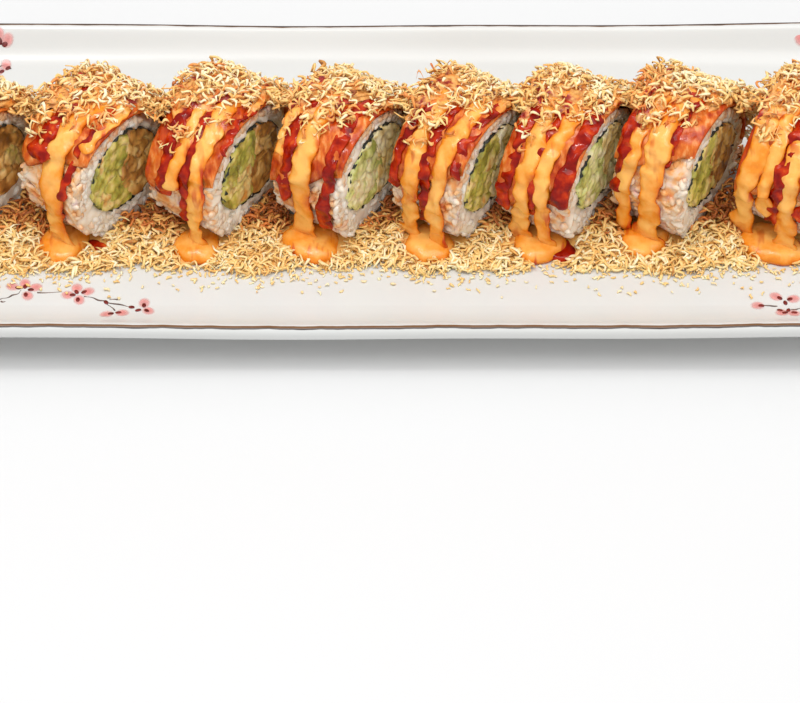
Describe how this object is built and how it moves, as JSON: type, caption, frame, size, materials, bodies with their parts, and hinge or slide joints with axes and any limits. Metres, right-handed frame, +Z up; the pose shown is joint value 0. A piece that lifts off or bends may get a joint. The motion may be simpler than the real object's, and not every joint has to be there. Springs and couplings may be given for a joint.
{
  "type": "shaggy dog roll on a plate",
  "caption": "Row of inside-out sushi slices with avocado and fried shrimp, crab, sauce drizzles and crunchy shreds, on a long rectangular plate.",
  "frame": {"origin": "middle of the plate's foot, on the surface that it stands on", "axes": "+X along the plate, +Y to its back edge, away from the shown side, +Z up"},
  "size_m": [0.346, 0.126, 0.0555],
  "materials": {
    "plate": "white glaze, brown edge line",
    "rice": "moist sticky grains",
    "nori": "thin dark seaweed",
    "avocado": "soft moist green",
    "shrimp": "battered and fried",
    "topping": "glossy sauce over crab",
    "crunch": "dry fried shreds"
  },
  "bodies": {
    "root": {"plate": "plate", "crunch_front": "crunch", "crunch_back": "crunch", "rice_1": "rice", "nori_1": "nori", "avocado_1": "avocado", "shrimp_1": "shrimp", "topping_1": "topping", "rice_2": "rice", "nori_2": "nori", "avocado_2": "avocado", "shrimp_2": "shrimp", "topping_2": "topping", "rice_3": "rice", "nori_3": "nori", "avocado_3": "avocado", "shrimp_3": "shrimp", "topping_3": "topping", "rice_4": "rice", "nori_4": "nori", "avocado_4": "avocado", "shrimp_4": "shrimp", "topping_4": "topping", "rice_5": "rice", "nori_5": "nori", "avocado_5": "avocado", "shrimp_5": "shrimp", "topping_5": "topping", "rice_6": "rice", "nori_6": "nori", "avocado_6": "avocado", "shrimp_6": "shrimp", "topping_6": "topping", "rice_7": "rice", "nori_7": "nori", "avocado_7": "avocado", "shrimp_7": "shrimp", "topping_7": "topping", "rice_8": "rice", "nori_8": "nori", "avocado_8": "avocado", "shrimp_8": "shrimp", "topping_8": "topping"}
  },
  "joints": []
}
